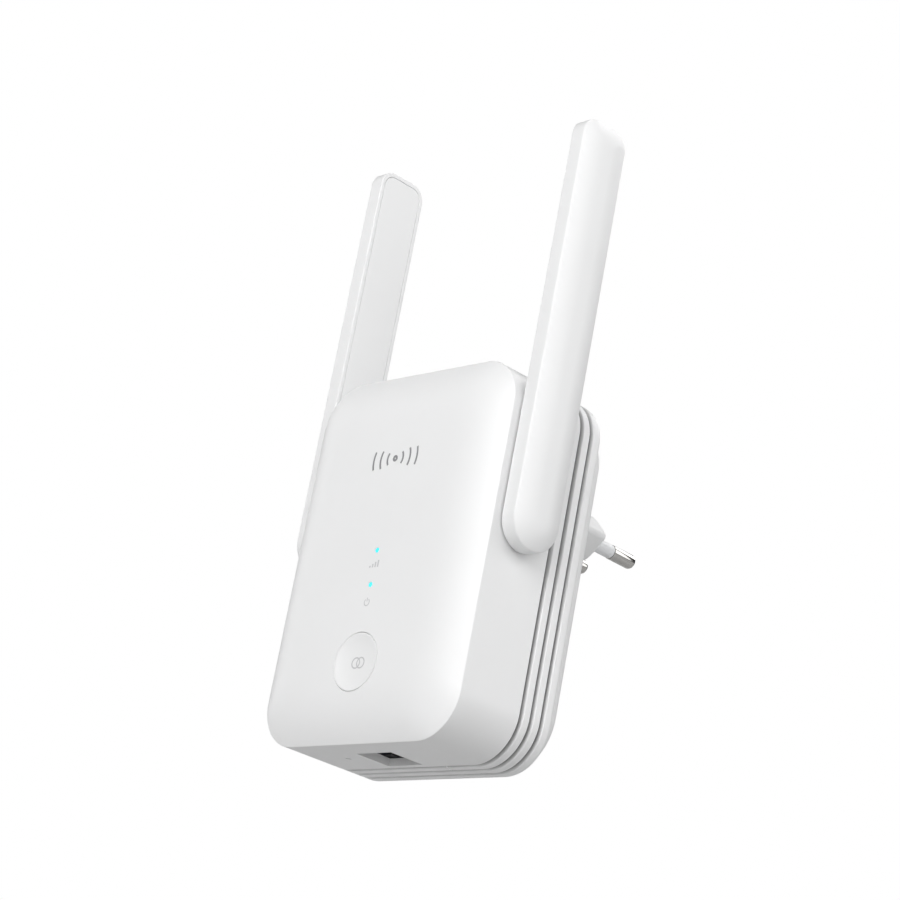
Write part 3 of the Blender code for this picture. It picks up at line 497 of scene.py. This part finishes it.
def plinth_ring(inset, y):
    """Return the plinth outline, inset evenly from its side."""
    return rounded_rectangle(
        PLINTH_HALF - inset, PLINTH_LOW + inset, PLINTH_HIGH - inset, PLINTH_CORNER - inset, y
    )


def pillow_y(inset):
    """Return the depth of the domed front at a distance in from its edge."""
    fade = (1 - min(inset / PILLOW_REACH, 1)) ** PILLOW_POWER
    return EDGE_Y - PILLOW_RISE * (1 - fade)


def pillow_ring(inset, thickness):
    """Return one ring of the domed front, or of its inner side."""
    reach = inset + thickness
    radius = CORNER - thickness - 0.45 * inset
    return rounded_rectangle(
        BODY_HALF - reach, FRONT_LOW.z + reach, FRONT_HIGH.z - reach, radius, pillow_y(inset) + thickness
    )


def circle(axis, centre, radius, distance, steps=TURN_STEPS):
    """Return one ring of points around an axis, at a place along it."""
    points = []
    for step in range(steps):
        angle = math.tau * step / steps
        across = radius * math.cos(angle)
        up = radius * math.sin(angle)
        if axis == "X":
            points.append(Vector((distance, centre.y + across, centre.z + up)))
        elif axis == "Y":
            points.append(Vector((centre.x + across, distance, centre.z + up)))
        else:
            points.append(Vector((centre.x + across, centre.y + up, distance)))
    return points


def turned(name, axis, centre, profile, material, steps=TURN_STEPS, closed=False):
    """Turn a filleted (radius, place, fillet) profile around an axis."""
    rings = [circle(axis, centre, radius, place, steps) for radius, place in fillet_path(profile)]
    return loft(name, rings, material, closed)


def box_tool(name, low, high):
    """Make a plain box, used only to cut."""
    rings = []
    for z in (low[2], high[2]):
        front = [(low[0], low[1], z), (high[0], low[1], z)]
        rear = [(high[0], high[1], z), (low[0], high[1], z)]
        rings.append(front + rear)
    return loft(name, rings, TOOL_SKIN)


def carve(obj, tools):
    """Cut tools out of an object for good, and remove them."""
    for tool in tools:
        change = obj.modifiers.new(tool.name, "BOOLEAN")
        change.operation = "DIFFERENCE"
        change.solver = "EXACT"
        change.object = tool
    graph = bpy.context.evaluated_depsgraph_get()
    mesh = bpy.data.meshes.new_from_object(obj.evaluated_get(graph))
    old = obj.data
    obj.modifiers.clear()
    obj.data = mesh
    bpy.data.meshes.remove(old)
    for tool in tools:
        bpy.data.objects.remove(tool)
    mesh.shade_smooth()
    mesh.set_sharp_from_angle(angle=SMOOTH_ANGLE)
    weigh = obj.modifiers.new("flat faces stay flat", "WEIGHTED_NORMAL")
    weigh.keep_sharp = True


def place(obj, body, slot, *nodes):
    """Ride a piece on a body and hide the CAD nodes it stands for; its slot is not used."""
    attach(obj, body)
    if nodes:
        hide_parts(*nodes)


# --- Case ------------------------------------------------------------------


def front_profile():
    """Return (inset, y) pairs from the case's seam round to the domed face."""
    sides = [
        (SEAM_BREAK, SEAM_Y, 0.0),
        (0.0, SEAM_Y - SEAM_BREAK, 0.0),
        (0.0, EDGE_Y, EDGE_ROUND),
        (FACE_START, pillow_y(FACE_START), 0.0),
    ]
    pairs = [tuple(pair) for pair in fillet_path(sides)]
    steps = 26
    for step in range(1, steps + 1):
        inset = FACE_START + (PILLOW_REACH - FACE_START) * (step / steps) ** 1.15
        pairs.append((inset, pillow_y(inset)))
    return pairs


def make_front_shell():
    """Domed front shell with every opening cut through it."""
    rings = [pillow_ring(PILLOW_REACH * share, WALL) for share in INNER_SHARES]
    rings.append(body_ring(WALL, SEAM_Y))
    for inset, y in front_profile():
        domed = y < EDGE_Y and inset >= FACE_START
        rings.append(pillow_ring(inset, 0.0) if domed else body_ring(inset, y))
    shell = loft("front_shell", rings, PAINT["white_plastic"])
    low = (-JACK_HALF, JACK_FRONT, FRONT_LOW.z - 2 * MM)
    high = (JACK_HALF, JACK_REAR, FRONT_LOW.z + 4 * MM)
    tools = [box_tool("jack window", low, high)]
    reset = (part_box("reset_plunger")[0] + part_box("reset_plunger")[1]) / 2
    hole = [
        (RESET_HOLE + 0.15 * MM, FRONT_LOW.z - 0.1 * MM, 0.0),
        (RESET_HOLE, FRONT_LOW.z + 0.1 * MM, 0.0),
        (RESET_HOLE, FRONT_LOW.z + 4 * MM, 0.0),
    ]
    tools.append(turned("reset hole", "Z", reset, hole, TOOL_SKIN, 32))
    hinge = [(HINGE_HOLE, -BODY_HALF * 1.2, 0.0), (HINGE_HOLE, BODY_HALF * 1.2, 0.0)]
    tools.append(turned("hinge holes", "X", HINGE, hinge, TOOL_SKIN, 48))
    carve(shell, tools)
    tools = [mouth("button hole", BUTTON_CENTRE, BUTTON_HOLE, MOUTH_LEAD)]
    for name in ("light_pipe_signal", "light_pipe_system"):
        centre = (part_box(name)[0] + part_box(name)[1]) / 2
        tools.append(mouth(f"{name} hole", centre, PIPE_HOLE, PIPE_LEAD))
    carve(shell, tools)
    place(shell, "housing", "white_plastic", "front_cover")


def mouth(name, centre, radius, lead):
    """Return a cutter for a round hole in the face with a softened mouth."""
    profile = [
        (radius + lead, FACE_Y - 0.6 * MM, 0.0),
        (radius + lead, FACE_Y, 0.0),
        (radius, FACE_Y + lead, 0.0),
        (radius, FACE_Y + 5 * MM, 0.0),
    ]
    return turned(name, "Y", centre, profile, TOOL_SKIN)


def rear_profile():
    """Return (inset, y, fillet) points down the louvred side of the rear shell."""
    points = []
    for number, front in enumerate(GROOVES):
        start = front + (0.3 * MM if number == 0 else 0.0)
        points.append((GROOVE_DEPTH, start, 0.0))
        points.append((0.0, front + GROOVE_RUN, 2 * RIB_ROUND))
        if number + 1 < len(GROOVES):
            points.append((0.0, GROOVES[number + 1], RIB_ROUND))
    points.append((0.0, BACK_Y, BACK_ROUND))
    points.append((5.5 * MM, BACK_Y, 0.0))
    return points


def make_rear_shell():
    """Rear shell: lip, three louvre grooves, back plate and hollow plinth."""
    inner_back = BACK_Y - WALL
    rings = [
        plinth_ring(WALL, REAR_HIGH.y - WALL),
        plinth_ring(WALL, inner_back),
        body_ring(REAR_INSIDE, inner_back),
        body_ring(REAR_INSIDE, LIP_Y),
        body_ring(LIP_OUTSIDE, LIP_Y),
        body_ring(LIP_OUTSIDE, SEAM_Y + 0.3 * MM),
    ]
    rings.extend(body_ring(inset, y) for inset, y in fillet_path(rear_profile())[:-1])
    plinth = [(0.0, BACK_Y, 0.0), (0.0, REAR_HIGH.y, PLINTH_ROUND), (6.0 * MM, REAR_HIGH.y, 0.0)]
    rings.extend(plinth_ring(inset, y) for inset, y in fillet_path(plinth))
    # The rear shell's colour carries painted shade down in its grooves.
    shell = loft("rear_shell", rings, GROOVE_SHADED_WHITE)
    window = [plug_ring(-PLUG_GAP, y) for y in (REAR_HIGH.y - 4 * MM, REAR_HIGH.y + 2 * MM)]
    tools = [loft("plug window", window, GROOVE_SHADED_WHITE)]
    low = (-NOTCH_HALF, LIP_Y - 1 * MM, REAR_LOW.z)
    high = (NOTCH_HALF, SEAM_Y - 0.1 * MM, REAR_LOW.z + 5 * MM)
    tools.append(box_tool("jack notch", low, high))
    low = (PRY_SLOT[0], SEAM_Y + 0.1 * MM, REAR_LOW.z - 1 * MM)
    high = (PRY_SLOT[1], GROOVES[1] + 0.1 * MM, REAR_LOW.z + 0.6 * MM)
    tools.append(box_tool("pry slot", low, high))
    carve(shell, tools)
    place(shell, "housing", "white_plastic", "rear_cover")


# --- Plug ------------------------------------------------------------------


def plug_ring(inset, y):
    """Return the plug's six-sided outline with filleted corners."""
    apex = PLUG_APEX - math.sqrt(2) * inset
    flat = PLUG_FLAT - (math.sqrt(2) - 1) * inset
    height = PLUG_HALF_HEIGHT - inset
    half = [
        (apex, 0.0, PLUG_TIP_ROUND),
        (flat, height, PLUG_SIDE_ROUND),
        (-flat, height, PLUG_SIDE_ROUND),
    ]
    loop = half + [(-x, -z, radius) for x, z, radius in half]
    loop = [loop[-1], *loop, loop[0]]
    return [(x, y, z) for x, z in fillet_path(loop, 8)[1:-1]]


def pin_pose(obj, side):
    """Stand an object made on the row's Y axis on a slightly converging pin axis."""
    lean = math.atan((PIN_OFFSET - PIN_TIP_OFFSET) / PIN_LENGTH)
    turn = Matrix.Rotation(side * lean, 4, "Z")
    obj.data.transform(Matrix.Translation((side * PIN_OFFSET, 0, 0)) @ turn)


def make_plug():
    """Plug tower, its two pins and their insulating sleeves."""
    zero = Vector()
    flange_rear = REAR_HIGH.y - WALL - 0.3 * MM
    profile = [
        (-PLUG_FLANGE, PLUG_LOW.y, 0.0),
        (-PLUG_FLANGE, flange_rear, 0.0),
        (0.0, flange_rear, 0.0),
        (0.0, 0.0, 1.0 * MM),
        (4.0 * MM, 0.0, 0.0),
    ]
    rings = [plug_ring(inset, y) for inset, y in fillet_path(profile)]
    tower = loft("plug_tower", rings, PAINT["white_plastic"])
    holes = []
    for name, side in (("left", -1), ("right", 1)):
        hole = [
            (PIN_RADIUS, -40 * MM, 0.0),
            (PIN_RADIUS, -0.2 * MM, 0.0),
            (PIN_RADIUS + 0.5 * MM, 0.3 * MM, 0.0),
        ]
        tool = turned(f"{name} pin hole", "Y", zero, hole, TOOL_SKIN, 48)
        pin_pose(tool, side)
        holes.append(tool)
        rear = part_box(f"pin_{name}")[0].y
        shaft = [
            (PIN_CORE, rear, 0.0),
            (PIN_CORE, SLEEVE_LENGTH + 0.1 * MM, 0.0),
            (PIN_RADIUS, SLEEVE_LENGTH + 0.1 * MM, 0.12 * MM),
            (PIN_RADIUS, PIN_LENGTH, PIN_NOSE),
            (0.2 * MM, PIN_LENGTH, 0.0),
        ]
        pin = turned(f"plug_pin_{name}", "Y", zero, shaft, PAINT["pin_metal"], 64)
        pin_pose(pin, side)
        place(pin, "housing", "pin_metal", f"pin_{name}")
        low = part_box(f"pin_sleeve_{name}")[0].y
        wall = [
            (SLEEVE_RADIUS, low, 0.0),
            (SLEEVE_RADIUS, SLEEVE_LENGTH, 0.25 * MM),
            (SLEEVE_BORE, SLEEVE_LENGTH, 0.0),
            (SLEEVE_BORE, low, 0.0),
        ]
        sleeve_name = f"insulating_sleeve_{name}"
        sleeve = turned(sleeve_name, "Y", zero, wall, PAINT["sleeve_plastic"], 64, closed=True)
        pin_pose(sleeve, side)
        place(sleeve, "housing", "sleeve_plastic", f"pin_sleeve_{name}")
    carve(tower, holes)
    place(tower, "housing", "white_plastic", "plug_body")


# --- Front controls --------------------------------------------------------


def dish_y(distance):
    """Return the depth of the button's dished face at a distance from its centre."""
    share = min(distance / (BUTTON_RADIUS - BUTTON_RIM), 1)
    return FACE_Y + BUTTON_DISH * (1 - share**2.6)


def make_button():
    """Round pairing button with a dished finger face."""
    outside = [
        (BUTTON_STEM, BUTTON_HIGH.y, 0.0),
        (BUTTON_STEM, FACE_Y + 3.7 * MM, 0.0),
        (BUTTON_SKIRT, FACE_Y + 3.7 * MM, 0.0),
        (BUTTON_SKIRT, FACE_Y + 2.8 * MM, 0.0),
        (BUTTON_RADIUS, FACE_Y + 2.8 * MM, 0.0),
        (BUTTON_RADIUS, FACE_Y, 0.14 * MM),
        (BUTTON_RADIUS - BUTTON_RIM, FACE_Y, 0.0),
    ]
    pairs = [tuple(pair) for pair in fillet_path(outside)]
    steps = 18
    for step in range(1, steps):
        radius = (BUTTON_RADIUS - BUTTON_RIM) * (1 - step / steps)
        pairs.append((radius, dish_y(radius)))
    rings = [circle("Y", BUTTON_CENTRE, radius, y) for radius, y in pairs]
    button = loft("button_cap", rings, PAINT["white_plastic"])
    place(button, "button", "white_plastic", "pairing_button")


def make_light_pipes():
    """Light pipes whose lit ends just fill their holes in the face."""
    for name in ("signal", "system"):
        low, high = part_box(f"light_pipe_{name}")
        profile = [
            (0.12 * MM, FACE_Y - 0.06 * MM, 0.0),
            (PIPE_END, FACE_Y - 0.02 * MM, 0.2 * MM),
            (PIPE_END, FACE_Y + 2.3 * MM, 0.0),
            (PIPE_FLANGE, FACE_Y + 2.3 * MM, 0.0),
            (PIPE_FLANGE, FACE_Y + 3.3 * MM, 0.0),
            (PIPE_STEM, FACE_Y + 3.3 * MM, 0.0),
            (PIPE_STEM, high.y, 0.0),
        ]
        pipe = turned(f"lit_pipe_{name}", "Y", (low + high) / 2, profile, PAINT["light_pipe"], 40)
        place(pipe, "housing", "light_pipe", f"light_pipe_{name}")


def stroke(bm, centre, radius, width, start, end, depth):
    """Add one thin curved stroke of print, between two angles in degrees."""
    steps = max(4, int(abs(end - start) / 8))
    near = radius - width / 2
    far = radius + width / 2
    corners = ((near, -0.5), (far, -0.5), (far, 0.5), (near, 0.5))
    rows = []
    for step in range(steps + 1):
        angle = math.radians(start + (end - start) * step / steps)
        row = []
        for reach, sink in corners:
            x = centre.x + reach * math.cos(angle)
            z = centre.z + reach * math.sin(angle)
            row.append(bm.verts.new((x, depth(x, z) + sink * INK, z)))
        rows.append(row)
    for first, second in zip(rows, rows[1:]):
        for index in range(4):
            after = (index + 1) % 4
            bm.faces.new((first[index], second[index], second[after], first[after]))
    bm.faces.new(rows[0])
    bm.faces.new(reversed(rows[-1]))


def bar(bm, low_x, high_x, low_z, high_z, depth):
    """Add one thin upright bar of print."""
    layers = []
    for sink in (-0.5, 0.5):
        spots = ((low_x, low_z), (high_x, low_z), (high_x, high_z), (low_x, high_z))
        layers.append([bm.verts.new((x, depth(x, z) + sink * INK, z)) for x, z in spots])
    bm.faces.new(layers[0])
    bm.faces.new(reversed(layers[1]))
    for index in range(4):
        after = (index + 1) % 4
        bm.faces.new((layers[0][index], layers[1][index], layers[1][after], layers[0][after]))


def print_mark(name, body, ink, draw):
    """Make one printed mark as thin ink lying on the surface."""
    bm = bmesh.new()
    draw(bm)
    bmesh.ops.recalc_face_normals(bm, faces=bm.faces)
    mesh = bpy.data.meshes.new(name)
    bm.to_mesh(mesh)
    bm.free()
    obj = finish_mesh(name, mesh, ink)
    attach(obj, body)


def make_marks():
    """Generic pictograms: a broadcast mark, two indicator marks, a pairing mark."""

    def face(_x, _z):
        return FACE_Y

    def dish(x, z):
        return dish_y(math.hypot(x, z - BUTTON_CENTRE.z))

    def broadcast(bm):
        centre = Vector((0.0, 0.0, BROADCAST_Z))
        stroke(bm, centre, 0.55 * MM, 0.7 * MM, 0, 360, face)
        for ring in range(3):
            radius = (2.9 + 2.6 * ring) * MM
            half = 34 - 8 * ring
            for start in (0, 180):
                stroke(bm, centre, radius, 0.6 * MM, start - half, start + half, face)

    def signal_bars(bm):
        for step in range(4):
            left = (-1.7 + 0.95 * step) * MM
            top = SIGNAL_BARS_Z + (0.5 + 0.45 * step) * MM
            bar(bm, left, left + 0.5 * MM, SIGNAL_BARS_Z, top, face)

    def power_ring(bm):
        centre = Vector((0.0, 0.0, POWER_RING_Z))
        stroke(bm, centre, 0.9 * MM, 0.28 * MM, 125, 415, face)
        bar(bm, -0.14 * MM, 0.14 * MM, centre.z + 0.2 * MM, centre.z + 1.2 * MM, face)

    def linked_rings(bm):
        for side in (-1, 1):
            centre = Vector((side * 0.85 * MM, 0.0, BUTTON_CENTRE.z))
            stroke(bm, centre, 1.35 * MM, 0.36 * MM, 0, 360, dish)

    print_mark("broadcast_mark", "housing", MARK_INK, broadcast)
    print_mark("signal_mark", "housing", LABEL_INK, signal_bars)
    print_mark("system_mark", "housing", LABEL_INK, power_ring)
    print_mark("pairing_mark", "button", LABEL_INK, linked_rings)


# --- Antennas --------------------------------------------------------------


def paddle_ring(side, x, inset):
    """Return the antenna outline in the YZ plane, inset evenly."""
    half = ANTENNA_HALF - inset
    radius = max(ANTENNA_TOP_CORNER - inset, 0.6 * MM)
    top = ANTENNA_HIGH.z - inset
    points = []
    steps = 48
    for step in range(steps + 1):
        angle = math.pi + math.pi * step / steps
        points.append((side * x, HINGE.y + half * math.cos(angle), HINGE.z + half * math.sin(angle)))
    for offset, start in ((half - radius, 0), (radius - half, 90)):
        for step in range(15):
            angle = math.radians(start + 90 * step / 14)
            y = HINGE.y + offset + radius * math.cos(angle)
            points.append((side * x, y, top - radius + radius * math.sin(angle)))
    return points


def dome_x(inset):
    """Return how far out the antenna's domed face lies at an inset."""
    return ANTENNA_RIDGE + ANTENNA_RISE * (1 - (1 - min(inset / DOME_REACH, 1)) ** 2)


def make_antenna(name, side):
    """Outer shell of one antenna, and the panel let into its inner side."""
    body = f"antenna_{name}"
    profile = [
        (3.2 * MM, ANTENNA_RIDGE + 0.4 * MM, 0.0),
        (ANTENNA_WALL, ANTENNA_RIDGE - 0.4 * MM, 0.0),
        (ANTENNA_WALL, ANTENNA_INNER, 0.08 * MM),
        (0.0, ANTENNA_INNER, 0.25 * MM),
        (0.0, ANTENNA_RIDGE, 0.55 * MM),
        (RIDGE_START, dome_x(RIDGE_START), 0.0),
    ]
    pairs = [tuple(pair) for pair in fillet_path(profile)]
    steps = 16
    for step in range(1, steps + 1):
        inset = RIDGE_START + (DOME_REACH - RIDGE_START) * step / steps
        pairs.append((inset, dome_x(inset)))
    rings = [paddle_ring(side, x, inset) for inset, x in pairs]
    shell = loft(f"antenna_paddle_{name}", rings, PAINT["antenna_plastic"])
    place(shell, body, "antenna_plastic", f"antenna_shell_{name}")
    profile = [
        (4.0 * MM, ANTENNA_INNER + PANEL_DEPTH, 0.0),
        (PANEL_INSET, ANTENNA_INNER + PANEL_DEPTH, 0.0),
        (PANEL_INSET, ANTENNA_INNER + PANEL_SINK, 0.1 * MM),
        (4.0 * MM, ANTENNA_INNER + PANEL_SINK, 0.0),
    ]
    rings = [paddle_ring(side, x, inset) for inset, x in fillet_path(profile)]
    panel = loft(f"antenna_cover_{name}", rings, PAINT["antenna_plastic"])
    hole = [(PANEL_HOLE, side * 34 * MM, 0.0), (PANEL_HOLE, side * 40 * MM, 0.0)]
    carve(panel, [turned(f"{name} panel hole", "X", HINGE, hole, TOOL_SKIN, 48)])
    place(panel, body, "antenna_plastic", f"antenna_panel_{name}")


# --- Studio ----------------------------------------------------------------


def make_floor():
    """Plain pale floor well below the object, evened out by a glow far away."""
    mesh = bpy.data.meshes.new("studio_floor")
    bm = bmesh.new()
    bmesh.ops.create_grid(bm, x_segments=4, y_segments=4, size=FLOOR_HALF)
    bm.to_mesh(mesh)
    bm.free()
    paper = surface(
        "floor paper", ((0.60, 0.60, 0.60), (0.64, 0.64, 0.64)), (0.85, 0.95),
        (300.0, 0.1 * MM), mottle=3.0,
    )
    tree = paper.node_tree
    shader = tree.nodes["Principled BSDF"]
    shader.inputs["Emission Color"].default_value = WHITE
    reach = add_node(tree, "ShaderNodeVectorMath", operation="LENGTH")
    tree.links.new(tree.nodes["Texture Coordinate"].outputs["Object"], reach.inputs[0])
    glow = spread(tree, reach.outputs["Value"], 0.0, FLOOR_GLOW, *FLOOR_FADE)
    tree.links.new(glow, shader.inputs["Emission Strength"])
    floor = finish_mesh("studio_floor", mesh, paper)
    floor.location.z = FLOOR_Z


def add_softbox(name, azimuth, elevation, power):
    """Add a large soft light aimed at the object from one direction.

    The azimuth starts in front of the object and grows towards its right.
    """
    turn = math.radians(azimuth)
    rise = math.radians(elevation)
    away = Vector((math.sin(turn) * math.cos(rise), -math.cos(turn) * math.cos(rise), math.sin(rise)))
    lamp = bpy.data.lights.new(name, "AREA")
    lamp.shape = "SQUARE"
    lamp.size = SOFTBOX_SIZE
    lamp.energy = power
    obj = bpy.data.objects.new(name, lamp)
    obj.location = LIGHT_TARGET + SOFTBOX_DISTANCE * away
    obj.rotation_euler = away.to_track_quat("Z", "Y").to_euler()
    bpy.context.scene.collection.objects.link(obj)


def make_studio():
    """White surroundings for the camera, dim ones for the object, and softboxes."""
    scene = bpy.context.scene
    scene.view_settings.view_transform = "Standard"
    world = bpy.data.worlds.new("studio")
    scene.world = world
    world.use_nodes = True
    tree = world.node_tree
    backdrop = tree.nodes["Background"]
    backdrop.inputs["Color"].default_value = WHITE
    ambient = tree.nodes.new("ShaderNodeBackground")
    ambient.inputs["Color"].default_value = WHITE
    ambient.inputs["Strength"].default_value = AMBIENT
    path = tree.nodes.new("ShaderNodeLightPath")
    mix = tree.nodes.new("ShaderNodeMixShader")
    tree.links.new(path.outputs["Is Camera Ray"], mix.inputs["Fac"])
    tree.links.new(ambient.outputs["Background"], mix.inputs[1])
    tree.links.new(backdrop.outputs["Background"], mix.inputs[2])
    tree.links.new(mix.outputs["Shader"], tree.nodes["World Output"].inputs["Surface"])
    add_softbox("key light", 20.0, 25.0, 15.6)
    add_softbox("front light", 20.0, 5.0, 4.1)
    add_softbox("right light", 75.0, 25.0, 7.0)
    add_softbox("right rear light", 125.0, 20.0, 5.9)
    add_softbox("left light", -80.0, 15.0, 5.1)
    add_softbox("rear light", 180.0, 45.0, 9.0)


def make_camera():
    """Camera at the photograph's viewing angle."""
    data = bpy.data.cameras.new("camera")
    data.sensor_width = 36.0
    data.lens = CAMERA_LENS
    data.clip_start = 0.01
    data.clip_end = 50.0
    obj = bpy.data.objects.new("camera", data)
    up = -CAMERA_DOWN
    back = CAMERA_RIGHT.cross(up)
    turn = Matrix((CAMERA_RIGHT, up, back)).transposed().to_4x4()
    obj.matrix_world = Matrix.Translation(CAMERA_PLACE) @ turn
    bpy.context.scene.collection.objects.link(obj)
    bpy.context.scene.camera = obj


make_camera()
make_studio()
make_floor()
paint_frame()
make_front_shell()
make_rear_shell()
make_plug()
make_button()
make_light_pipes()
make_marks()
make_antenna("left", -1)
make_antenna("right", 1)
